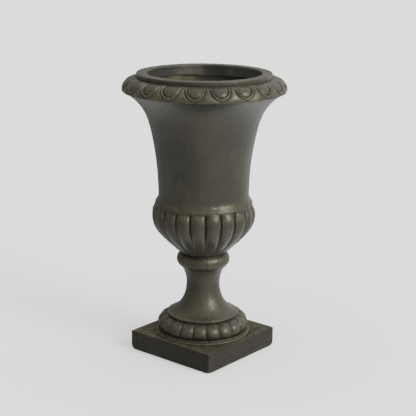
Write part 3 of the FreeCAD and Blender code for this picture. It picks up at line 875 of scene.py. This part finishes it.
class URN_OT_bowl(bpy.types.Operator):
    """Gadrooned cup, shoulder and trumpet body, with the laminate inside"""
    bl_idname = "urn.bowl"
    bl_label = "Bowl"

    def execute(self, context):
        ornament = context.scene.urn_ornament
        neck, seat = pt(NECK_RADIUS, NECK_LEVEL), pt(SEAT_RADIUS, FLOOR_SEAT)
        shoulder_edge = pt(SHOULDER_RADIUS, 437)
        ground = spaced(joined(line(neck, pt(CUP_FOOT_RADIUS, CUP_BOTTOM), 4), cup_ground(0, 60)), 1.6)
        edge = rounded(((CUP_RADIUS, CUP_TOP), (138, CUP_TOP), shoulder_edge), 1.2, 5)
        shoulder = bend(shoulder_edge, (0.55, 0.36), (0.0, 0.45), pt(BODY_RADIUS, BODY_BOTTOM), 20)
        outer = joined(ground, spaced(joined(edge, shoulder), 1.6), spaced(body(0), 5.5))
        lining = cup_ground(WALL)
        lining = lining[lining[:, 1] > FLOOR_SEAT + 1.0]
        inner = spaced(joined([seat], lining, shoulder_inside(WALL, 8), body(WALL)), 6.5)[::-1]
        ledge = rounded((seat, (FLOOR_BORE, FLOOR_SEAT), (FLOOR_BORE, NECK_LEVEL)), 1.0)
        outline = joined(outer, inner, ledge, line(pt(FLOOR_BORE, NECK_LEVEL), neck, 3))[:-1]

        count = len(ground)
        columns = unit_columns(30)
        t = np.abs(across_unit(columns, ornament.cup_turn)) / HALF_UNIT
        z = outline[None, :count, 1]
        widest = pt(146.2, CUP_WIDEST)
        crown = joined(bend(pt(71.5, 296), (0.4, 0.3), (0.0, 0.45), widest, 50),
                       bend(widest, (0.0, 0.5), (0.5, 0.0), pt(136.5, 431), 30))
        out_to = np.interp(z[0], crown[:, 1], crown[:, 0], left=outline[0, 0])[None, :]
        groove = ornament.cup_groove / MM * smooth(z, 295, 310) * smooth(z, 424, 340)
        deep = outline[None, :count, 0] - groove + 3.4 * smooth(z, 410, 430) * smooth(t, 1.0, 0.80)
        head = np.clip((z - CUP_WIDEST) / 30.5, 0, 1)
        toe = np.clip((300 - z) / 5.0, 0, 1)
        lobe = np.clip(1 - t ** 2.2 - head ** 2.8 - toe ** 2.4, 0, 1) ** 0.54
        radius, level = repeated(outline, columns)
        radius[:, :count] = deep + (np.maximum(out_to, deep) - deep) * lobe

        rub, pit = np.zeros((2, *radius.shape))
        high = smooth(z, 395, 424)
        # Rubbing on the lobes' heads is partly painted highlight; the thin pale line along each lobe's
        # flank by the grooves is a painted reflection.
        rub[:, :count] = lobe * (0.04 + 0.66 * high) + 0.68 * peak(t, 0.79, 0.075)
        # Painted shade, partly soiling: darker in the grooves, at their tops under the shoulder and under
        # the cup.
        pit[:, :count] = ((1 - lobe) ** 3 * (0.85 - high + high * smooth(t, 0.72, 0.98))
                          + 0.20 * smooth(z, 302, 293))
        r, z = outline.T
        on_shoulder = (z >= CUP_TOP - 0.1) & (z < 480) & (r > 126)
        rub += on_shoulder * 0.44 * smooth(z, 468, 446)
        # Painted shade: a slight darkening under the shoulder's edge.
        pit += ((np.abs(z - CUP_TOP) < 0.8) & between(r, 132, SHOULDER_RADIUS)) * 0.02
        raw = ((np.arange(len(outline)) > len(outer)) & (z > 289)) * LAMINATE_MARK

        def marks(off, r, z):
            wave = 1.3 * np.sin(np.radians(off * 5.0 + 40)) + 1.0 * np.sin(np.radians(off * 13.0))
            on = smooth(z, 424, 431.5) * smooth(z, 452, 436) * (r > 129)
            return r + 0.35 * on * np.sin(np.radians(off * 31)), z + wave * on

        half_rings(context, "bowl", columns, radius, level, marks,
                   ("urn_antique_paint", "urn_raw_laminate"), rub=rub, pit=pit, raw=raw)
        return {"FINISHED"}


class URN_OT_pedestal(bpy.types.Operator):
    """Fillet ring, gadrooned foot, lip, waisted stem and collar"""
    bl_idname = "urn.pedestal"
    bl_label = "Pedestal"

    def outline(self):
        """The pedestal's closed outline, its outer part and the part that the foot's lobes stand on."""
        ring = rounded(((FOOT_BORE, PLINTH_HEIGHT), (134, PLINTH_HEIGHT), (134, 59.8), (129.2, 60.7),
                        (129.2, RING_TOP), (RING_RADIUS, RING_TOP)), 1.1, 5)
        ground = spaced(arc(pt(RING_RADIUS, RING_TOP), pt(FOOT_RADIUS, FOOT_LEVEL),
                            pt(LIP_RADIUS, LIP_BOTTOM), 40), 1.15)
        lip = arc(pt(LIP_RADIUS, LIP_BOTTOM), pt(102, 111), pt(99.6, LIP_TOP), 9)
        stalk = spaced(joined(line(pt(99.6, LIP_TOP), pt(98, 114.2), 3), stem(0, 40)[1:]), 2.4)
        collar = spaced(arc(pt(63.8, 250.2), pt(75.6, 269), pt(67.6, 288), 30), 1.6)
        groove = rounded(((67, 288), (NECK_RADIUS, 289.2), (NECK_RADIUS, NECK_LEVEL)), 0.8, 3)
        outer = joined(ring, ground, lip, stalk, collar, groove)
        bore = joined(line(pt(FOOT_BORE, PLINTH_HEIGHT), pt(FOOT_BORE, RING_TOP), 4),
                      foot_inside(WALL, 12), spaced(stem(WALL), 6.0),
                      line(stem_top(WALL), pt(FLOOR_BORE, 288), 6),
                      line(pt(FLOOR_BORE, 288), pt(FLOOR_BORE, NECK_LEVEL)))
        return joined(outer, bore[::-1])[:-1], outer, ground

    def execute(self, context):
        ornament = context.scene.urn_ornament
        outline, outer, ground = self.outline()
        first = int(np.argmin(np.linalg.norm(outline - ground[0], axis=1)))
        foot = slice(first, first + len(ground))
        columns = unit_columns(30)
        t = np.abs(across_unit(columns, ornament.foot_turn)) / HALF_UNIT
        along = np.linspace(0, 1, len(ground))
        crown = arc(pt(126.6, 66.6), pt(129.4, 79.0), pt(101.5, 106.5), len(ground)) + (0.6, 0)
        groove = ornament.foot_groove / MM * smooth(along, 0.05, 0.3)
        deep = ground - normals(ground, closed=False) * groove[:, None]
        swell = np.clip(1 - np.abs(2 * along ** 0.80 - 1) ** 3.4, 0, 1) ** 0.5
        near = t / (1 - 0.20 * smooth(along, 0.45, 1.0))
        lobe = np.clip(1 - near ** 2.2, 0, 1) ** 0.5
        hold = 0.08 + 0.22 * smooth(along, 0.2, 0.7)
        mask = swell * (hold + (1 - hold) * lobe)
        radius, level = repeated(outline, columns)
        radius[:, foot] = deep[:, 0] + (crown - deep)[:, 0] * mask
        level[:, foot] = deep[:, 1] + (crown - deep)[:, 1] * mask

        rub, pit = np.zeros((2, *radius.shape))
        rub[:, foot] = 0.16 + 0.30 * mask ** 3 * smooth(along, 0.15, 0.40) * smooth(along, 0.95, 0.60)
        # Painted shade, partly soiling: darker between the foot's lobes and in a band at their tops under
        # the lip.
        pit[:, foot] = np.clip((1 - lobe) ** 2 * 0.5 * (1 - hold) + (1 - swell) ** 2 * 0.12
                               + 0.34 * peak(along, 0.88, 0.07), 0, 1)
        r, z = outline.T
        outside = np.arange(len(outline)) < len(outer)
        rub += outside * ((z < 66.5) * 0.34 * smooth(r, 126, 129)
                          # Partly edge rubbing and partly painted highlight: the outer top corner of the
                          # ring's lower step.
                          + ((z < 61) & (r > 131)) * 0.80 * smooth(z, 57.5, 59.5)
                          + (between(z, 107, 116) & (r > 97)) * 0.45
                          + between(z, 114, 250) * (0.14 + 0.24 * smooth(z, 200, 130))
                          + between(z, 252, 289) * (0.34 + 0.14 * smooth(z, 262, 280)))
        # Painted shade, partly soiling: dark lines where the collar meets the stem, in the groove under the
        # cup, in the ring's corners and under the lip.
        pit += outside * (0.85 * peak(z, 250.6, 1.6) + 0.25 * smooth(z, 286.5, 289.5)
                          + (r < 129) * 0.1 * peak(z, 66, 1.2) + (r < 131) * 0.7 * peak(z, 60.9, 0.8)
                          + (r > 97) * 0.20 * peak(z, 107.6, 1.0))

        def marks(off, r, z):
            r = r - (between(z, 251, 287) & (r > 60)) * 1.3 * peak(off, 2.3, 0.55)
            r = r - (between(z, 56.5, 66.2) & (r > 126)) * 2.6 * peak(off, 3.1, 0.7)
            r = r - between(z, 67, 107) * 0.8 * peak(off, 0.3, 0.45)
            chipped = smooth(off, 4, 16) * smooth(off, 50, 34) * (between(z, 107, 115) & (r > 96))
            return r - 0.9 * chipped, z

        half_rings(context, "pedestal", columns, radius, level, marks,
                   ("urn_antique_paint", "urn_raw_laminate"),
                   rub=rub, pit=pit, raw=~outside * LAMINATE_MARK)
        return {"FINISHED"}


def square_reach(turn, half, corner):
    """How far a rounded square reaches at an azimuth, its sides along X and Y."""
    t = np.abs((turn + math.pi / 4) % (math.pi / 2) - math.pi / 4)
    inner = half - corner
    away = inner * (np.cos(t) + np.sin(t))
    bulge = away + np.sqrt(np.maximum(corner ** 2 - 2 * inner ** 2 + away ** 2, 0))
    return np.where(half * np.tan(t) <= inner, half / np.cos(t), bulge)


def rows_reach(turn, half, rows):
    """Reach of each row at each turn; see PLINTH_OUTSIDE for what a row says."""
    return np.stack([np.full_like(turn, inset) if is_round else square_reach(turn, half - inset, corner)
                     for level, inset, corner, is_round in rows], 1)


# Each row: level, inset of the side, corner radius, and 1 on a round row, whose radius the inset is.
PLINTH_OUTSIDE = (
    [(0.0, 4.6, 17.0, 0), (0.5, 2.9, 15.5, 0), (1.6, 1.6, 13.5, 0), (3.2, 0.7, 11.0, 0), (5.4, 0.2, 8.6, 0),
     (8.0, 0.0, 6.4, 0), (11.0, 0.0, 4.8, 0), (15.0, 0.0, 3.8, 0)]
    + [(level, 0.0, 3.3, 0) for level in (20, 25, 30, 35, 40, 45, 49, 52, 53.5)]
    + [(54.4, 0.25, 3.3, 0), (55.2, 0.8, 3.4, 0), (55.75, 1.6, 3.6, 0), (56.0, 2.6, 4.0, 0),
       (56.0, 5.0, 6.0, 0), (56.0, 9.0, 10.0, 0), (56.0, 130.0, 0, 1), (56.0, FOOT_BORE, 0, 1)])
PLINTH_INSIDE = (
    [(PLINTH_CEILING, FOOT_BORE, 0, 1), (PLINTH_CEILING, PLINTH_WALL + 6.0, 3.0, 0),
     (PLINTH_CEILING - 1.0, PLINTH_WALL + 1.2, 3.0, 0)]
    + [(level, PLINTH_WALL, 3.0, 0) for level in (PLINTH_CEILING - 4.0, 24.0, 10.0, 1.0)]
    + [(0.0, PLINTH_WALL - 1.0, 3.0, 0)])


class URN_OT_plinth(bpy.types.Operator):
    """Square plinth, hollow underneath, with worn corners"""
    bl_idname = "urn.plinth"
    bl_label = "Plinth"

    def execute(self, context):
        half = PLINTH_SIDE / 2
        rows = PLINTH_OUTSIDE + PLINTH_INSIDE
        level, inset, _, is_round = np.array(rows).T
        # closer together near the corners
        spots = np.r_[np.linspace(0, 180, 121), np.linspace(0, 3.4, 12), np.linspace(86.6, 93.4, 24),
                      np.linspace(176.6, 180, 12)]
        for shell, start in HALVES:
            turn = start + np.radians(np.unique(np.round(spots, 4)))
            reach = rows_reach(turn, half, rows)
            edge = 0.05 * (peak(level, 55.0, 1.4) * (inset < 3) + 0.5 * ((level < 4) & (inset < 4)))
            at_corner = 0.14 * smooth(reach, half * 1.30, half * 1.405) * (inset < 3)
            mesh = swept_mesh(
                shell + "_plinth", reach, np.broadcast_to(level, reach.shape), turn,
                # The top face is rubbed much paler, partly painted light on the upward face.
                rub=np.clip(at_corner + edge + 0.66 * (level > 55.9), 0, 1),
                # Painted shade on the top round the ring's foot.
                pit=0.35 * ((is_round > 0) & (inset > 120) & (level > 50)),
                raw=(np.arange(len(rows)) >= len(PLINTH_OUTSIDE)) * LAMINATE_MARK)
            cast(context, shell, mesh, ("urn_plinth_paint", "urn_raw_laminate"),
                 lambda off, r, z: (r, np.maximum(z, 0.0)), 40, wobble=0.7, lumps=0.3)
        return {"FINISHED"}


# ---- inner pieces ----

def turned_piece(name, outline, material, values):
    """A piece turned round the axis from a closed outline."""
    curve = bpy.data.curves.new(name, "CURVE")
    curve.dimensions = "3D"
    spline = curve.splines.new("POLY")
    radius, level = np.vstack((outline, outline[:1])).T * MM
    spline.points.add(len(radius) - 1)
    spline.points.foreach_set("co", np.stack((radius, radius * 0, level, radius * 0 + 1), 1).ravel())
    values = {"Rows": len(outline) + 1, "Finish": material, **values}
    piece = grown(link(name, curve), turned_tree(), values)
    outward(piece, weld=FINE_WELD)
    return piece


class URN_OT_lining(bpy.types.Operator):
    """Lining of the mouth under the brim, painted above and raw below"""
    bl_idname = "urn.lining"
    bl_label = "Mouth lining"

    def execute(self, context):
        ornament = context.scene.urn_ornament
        outer, middle = MOUTH_RADIUS + BAND_THICKNESS, 768
        upper = rounded(((outer, middle), (outer, FLANGE_BOTTOM), (MOUTH_RADIUS, FLANGE_BOTTOM),
                         (MOUTH_RADIUS, middle)), 0.3, 3)
        lower = rounded(((MOUTH_RADIUS, middle), (MOUTH_RADIUS, BAND_BOTTOM + 4),
                         (MOUTH_RADIUS + 2.4, BAND_BOTTOM), (outer - 1.8, BAND_BOTTOM),
                         (outer, BAND_BOTTOM + 4), (outer, middle)), 1.2, 4)
        piece = turned_piece("rim_band_lining", spaced(joined(upper, lower), 1.0)[:-1],
                             finish_named(context, "urn_mouth_lining"),
                             {"Columns": 361, "Ragged": 0.0035, "Ragged below": (BAND_BOTTOM + 6) * MM,
                              "Wobble": ornament.wobble, "Wobble size": ornament.wobble_size,
                              "Seed": ornament.seed})
        finish_piece(piece, BODY, ["rim_band"], sharp=45)
        return {"FINISHED"}


def bowl_inside(inset):
    """The bowl's outline that much inside its outer face."""
    return joined(cup_ground(inset), shoulder_inside(inset, 10), body(inset))


def pedestal_inside(inset):
    """The pedestal's outline that much inside its outer face."""
    return joined(line(pt(RING_RADIUS - inset, 48), pt(RING_RADIUS - inset, RING_TOP), 6),
                  foot_inside(inset, 14), stem(inset), line(stem_top(inset), pt(63 - inset, 288), 6))


def tape_mesh(name, sheets, marks):
    """A thin sheet from the places of its two faces, closed all round, with a UV map that follows it."""
    n, m = sheets[0].shape[:2]
    grid = np.arange(n * m).reshape(n, m)
    quads = np.stack((grid[:-1, :-1], grid[1:, :-1], grid[1:, 1:], grid[:-1, 1:]), -1).reshape(-1, 4)
    loop = np.r_[grid[:, 0], grid[-1, 1:], grid[-2::-1, -1], grid[0, -2:0:-1]]
    after = np.roll(loop, -1)
    edge = np.stack((after, loop, loop + n * m, after + n * m), -1)
    mesh = bpy.data.meshes.new(name)
    mesh.from_pydata(np.concatenate([s.reshape(-1, 3) for s in sheets]).tolist(), [],
                     np.concatenate((quads, quads[:, ::-1] + n * m, edge)).tolist())
    corner = np.empty(len(mesh.loops), np.int32)
    mesh.loops.foreach_get("vertex_index", corner)
    flat = np.concatenate([s.reshape(-1, 2) for s in marks])
    mesh.uv_layers.new(name="tape").data.foreach_set("uv", flat[corner].astype(np.float32).ravel())
    return mesh


class URN_OT_tapes(bpy.types.Operator):
    """Woven tapes laid over the seams inside the bowl and the pedestal"""
    bl_idname = "urn.tapes"
    bl_label = "Seam tapes"

    def execute(self, context):
        gap, thick, half_width, widest = 0.3, 3.0, 17.2, 17.9
        material = finish_named(context, "urn_woven_tape")
        generator = np.random.default_rng(11)
        across = np.linspace(-1, 1, 15)[:, None]
        for zone, drawn, low, high in (("bowl", bowl_inside, FLOOR_TOP + 2, ROLL_BOTTOM - 2),
                                       ("pedestal", pedestal_inside, 48, 286)):
            levels = np.linspace(low, high, int((high - low) / 3.0))
            inner, outer = (np.interp(levels, run[:, 1], run[:, 0])
                            for run in (drawn(WALL + gap + thick), drawn(WALL + gap)))
            along = distances(np.stack((inner, levels), 1))
            for end, start in (("front", SEAM), ("back", SEAM + math.pi)):
                fray = np.convolve(generator.standard_normal(len(levels) + 4), np.ones(5) / 5, "valid")
                y = across * np.minimum(half_width + 0.8 * fray, widest)
                thinner = 1.7 * smooth(np.abs(across), 0.80, 1.0)
                spin = np.array(Matrix.Rotation(start, 3, "Z"))
                sheets = []
                for radius in (inner + thinner, outer + 0 * thinner):
                    x = np.sqrt(np.maximum(radius ** 2 - y ** 2, 1.0))
                    sheets.append(np.stack((x, y, np.broadcast_to(levels, x.shape)), -1) * MM @ spin.T)
                mark = np.stack((y, np.broadcast_to(along, y.shape)), -1) * MM
                name = zone + "_seam_tape_" + end
                piece = link(name, tape_mesh(name, sheets, (mark, mark)))
                piece.data.materials.append(material)
                outward(piece)
                finish_piece(piece, BODY, [zone + "_seam_strip_" + end], sharp=45)
        return {"FINISHED"}


class URN_OT_drain(bpy.types.Operator):
    """Bowl floor with its drain hole, and the loose rubber plug"""
    bl_idname = "urn.drain"
    bl_label = "Bowl floor and plug"

    def execute(self, context):
        side = (FLOOR_RADIUS, (FLOOR_SEAT + FLOOR_TOP) / 2)
        disc = spaced(rounded((side, (FLOOR_RADIUS, FLOOR_TOP), (9.0, FLOOR_TOP), (9.0, FLOOR_SEAT),
                               (FLOOR_RADIUS, FLOOR_SEAT), side), 1.0, 4), 1.6)[:-1]
        piece = turned_piece("bowl_floor_disc", disc, finish_named(context, "urn_raw_laminate"),
                             {"Columns": 145, "Wobble": 0.0003, "Wobble size": 0.02, "Seed": 5})
        finish_piece(piece, BODY, ["bowl_floor"], sharp=45)

        # the plug's stem, flange and grip, as radius and height over the bowl floor
        plug = [(0.02, -12), (6.8, -12), (8.7, -9), (8.7, 0), (15, 0), (15, 4), (4, 4), (3.6, 7.5),
                (5.5, 10.0), (5.5, 12), (0.02, 12)]
        plug = spaced(rounded([(r, FLOOR_TOP + z) for r, z in plug], 0.9, 5), 0.45)
        piece = turned_piece("drain_plug_moulding", plug, finish_named(context, "urn_plug_rubber"),
                             {"Columns": 73, "Wobble": 0.0, "Seed": 6})
        finish_piece(piece, PLUG_BODY, ["drain_plug"], sharp=45)
        return {"FINISHED"}


# Rows as in PLINTH_OUTSIDE, from the outlet's foot round the panel and back into the outlet.
PLATE_ROWS = (
    [(2.0, radius, 0, 1) for radius in (10.9, 30.0, 70.0)]
    + [(2.0, 1.0, 1.2, 0), (2.3, 0.3, 1.2, 0), (3.0, 0.0, 1.2, 0), (7.0, 0.0, 1.2, 0), (7.7, 0.3, 1.2, 0),
       (8.0, 1.0, 1.2, 0)]
    + [(8.0, radius, 0, 1) for radius in (70.0, 30.0, 10.9)]
    + [(7.6, 10.2, 0, 1), (6.9, 10.0, 0, 1), (3.1, 10.0, 0, 1), (2.4, 10.2, 0, 1)])


class URN_OT_base_plate(bpy.types.Operator):
    """Panel that closes the plinth underneath, with the water outlet"""
    bl_idname = "urn.base_plate"
    bl_label = "Base plate"

    def execute(self, context):
        corners = [np.linspace(middle - 1.5, middle + 1.5, 7) for middle in (45, 135, 225, 315)]
        turn = np.radians(np.unique(np.round(np.r_[np.linspace(0, 360, 145), *corners], 4)))[:-1]
        reach = rows_reach(turn, PLINTH_SIDE / 2 - PLINTH_WALL - 0.3, PLATE_ROWS)
        level = np.broadcast_to([row[0] for row in PLATE_ROWS], reach.shape)
        piece = link("base_plate_panel", swept_mesh("base_plate_panel", reach, level, turn, closed=True))
        piece.data.materials.append(finish_named(context, "urn_raw_laminate"))
        outward(piece)
        finish_piece(piece, BODY, ["base_plate"], sharp=35)
        return {"FINISHED"}


# ---- stage ----

# The camera's azimuth in degrees, then its place in metres, its turns and its focal length in pixels.
CAMERA_AZIMUTH = -49.838
CAMERA_DISTANCE, CAMERA_HEIGHT = 3.0998, 1.23983
CAMERA_PITCH, CAMERA_YAW, CAMERA_ROLL = 0.259473, 0.00405, 0.008361
PIXELS, FOCAL, SENSOR = 416.0, 1139.448, 36.0
# Turns to the camera's right, from the way that leads to the camera.
KEY_TURN, KEY_RISE = math.radians(54), math.radians(30)
BRIGHT_TURN = math.radians(82)


def seen_from_camera(right, away, up):
    """A point given to the camera's right, away from it and up, in the urn's own frame."""
    turn = math.radians(90 + CAMERA_AZIMUTH)
    sine, cosine = math.sin(turn), math.cos(turn)
    return right * cosine - away * sine, right * sine + away * cosine, up


class URN_OT_stage(bpy.types.Operator):
    """Pale floor, soft lights and the camera"""
    bl_idname = "urn.stage"
    bl_label = "Stage"

    def floor(self, stage):
        material, g, shader = new_material("stage_floor")
        cloud = g.noise(object_place(g), 1.2, 2.0, 0.5, seed=51.0)
        feed_shader(g, shader, colour=g.mix(cloud, shaded(stage.floor, 0.985), stage.floor), roughness=0.9,
                    specular=0.1)
        around = np.linspace(0, 2 * math.pi, 97)[:-1]
        rings = (0.0005, 0.5, 1.5, 4.0, 12.0, 40.0)
        count = len(around)
        places = [(r * math.cos(t), r * math.sin(t), 0.0) for r in rings for t in around]
        faces = [(k * count + i, (k + 1) * count + i, (k + 1) * count + (i + 1) % count,
                  k * count + (i + 1) % count) for k in range(len(rings) - 1) for i in range(count)]
        mesh = bpy.data.meshes.new("stage_floor")
        mesh.from_pydata(places, [], faces + [tuple(range(count))])
        mesh.materials.append(material)
        piece = link("stage_floor", mesh)
        piece.visible_glossy = False

    def room(self, context, stage):
        """A bright room beside and behind, a dark one in front."""
        world = bpy.data.worlds.new("studio_room")
        context.scene.world = world
        world.use_nodes = True
        g = Graph(world.node_tree)
        g.tree.nodes.clear()
        way = g.node("ShaderNodeTexCoord", output=0)
        bright_way = seen_from_camera(math.sin(BRIGHT_TURN), -math.cos(BRIGHT_TURN), 0.0)
        facing = g.vector("DOT_PRODUCT", {0: way, 1: bright_way}, output=1)
        rise = g.axis(way, 2)
        light = (g.ramp(facing, -0.28, 0.30, stage.dark_side, stage.bright_side)
                 + g.ramp(rise, 0.35, 0.92, 0.0, stage.ceiling)
                 + g.ramp(rise, -0.25, -0.75, 0.0, stage.below))
        back = g.node("ShaderNodeBackground", None, {"Color": (1.0, 1.0, 1.0), "Strength": light})
        out = g.tree.nodes.new("ShaderNodeOutputWorld")
        g.tree.links.new(back.socket, out.inputs["Surface"])

    def sun(self, name, strength, softness, turn, rise):
        """A sun lamp turned to the camera's right and raised by the given angles."""
        lamp = bpy.data.lights.new(name, "SUN")
        lamp.energy, lamp.angle = strength, softness
        piece = link(name, lamp)
        toward = seen_from_camera(math.sin(turn) * math.cos(rise), -math.cos(turn) * math.cos(rise),
                                  math.sin(rise))
        piece.rotation_euler = Vector(toward).to_track_quat("Z", "Y").to_euler()
        return piece

    def camera(self, context):
        camera = bpy.data.cameras.new("camera")
        camera.sensor_fit = "HORIZONTAL"
        camera.sensor_width = SENSOR
        camera.lens = FOCAL / PIXELS * SENSOR
        camera.clip_end = 100.0
        view = link("camera", camera)
        level = math.cos(CAMERA_PITCH)
        ahead = Vector(seen_from_camera(math.sin(CAMERA_YAW) * level, math.cos(CAMERA_YAW) * level,
                                        -math.sin(CAMERA_PITCH)))
        across = Vector(seen_from_camera(math.cos(CAMERA_YAW), -math.sin(CAMERA_YAW), 0.0))
        above = across.cross(ahead)
        right_way = math.cos(CAMERA_ROLL) * across + math.sin(CAMERA_ROLL) * above
        up_way = -math.sin(CAMERA_ROLL) * across + math.cos(CAMERA_ROLL) * above
        pose = Matrix((right_way, up_way, -ahead)).transposed().to_4x4()
        pose.translation = Vector(seen_from_camera(0.0, -CAMERA_DISTANCE, CAMERA_HEIGHT))
        view.matrix_world = pose
        context.scene.camera = view

    def execute(self, context):
        stage = context.scene.urn_stage
        self.floor(stage)
        self.room(context, stage)
        key = self.sun("key_light", stage.key, stage.softness, KEY_TURN, KEY_RISE)
        key.data.color = (1.0, 0.985, 0.96)
        top = self.sun("top_light", stage.top, math.radians(70), 0.0, math.radians(82))
        top.visible_glossy = False
        self.camera(context)
        return {"FINISHED"}


# ---- panel and registration ----

class URN_PT_panel(bpy.types.Panel):
    bl_idname = "URN_PT_panel"
    bl_label = "Urn Planter"
    bl_space_type = "VIEW_3D"
    bl_region_type = "UI"
    bl_category = "Urn"

    def draw(self, context):
        scene = context.scene
        for group in (scene.urn_ornament, scene.urn_finish, scene.urn_stage):
            box = self.layout.box()
            for key in group.__annotations__:
                box.prop(group, key)
        for operator in OPERATORS:
            self.layout.operator(operator.bl_idname)


OPERATORS = (URN_OT_stage, URN_OT_rim, URN_OT_bowl, URN_OT_pedestal, URN_OT_plinth, URN_OT_lining,
             URN_OT_tapes, URN_OT_drain, URN_OT_base_plate)
GROUPS = {"urn_ornament": UrnOrnament, "urn_finish": UrnFinish, "urn_stage": UrnStage}


def register():
    for group in GROUPS.values():
        bpy.utils.register_class(group)
    for key, group in GROUPS.items():
        setattr(bpy.types.Scene, key, bpy.props.PointerProperty(type=group))
    for kind in (*OPERATORS, URN_PT_panel):
        bpy.utils.register_class(kind)


def unregister():
    for kind in reversed((*OPERATORS, URN_PT_panel)):
        bpy.utils.unregister_class(kind)
    for key in GROUPS:
        delattr(bpy.types.Scene, key)
    for group in reversed(GROUPS.values()):
        bpy.utils.unregister_class(group)


def main():
    register()
    for operator in OPERATORS:
        group, name = operator.bl_idname.split(".")
        getattr(getattr(bpy.ops, group), name)()


if __name__ == "__main__":
    main()
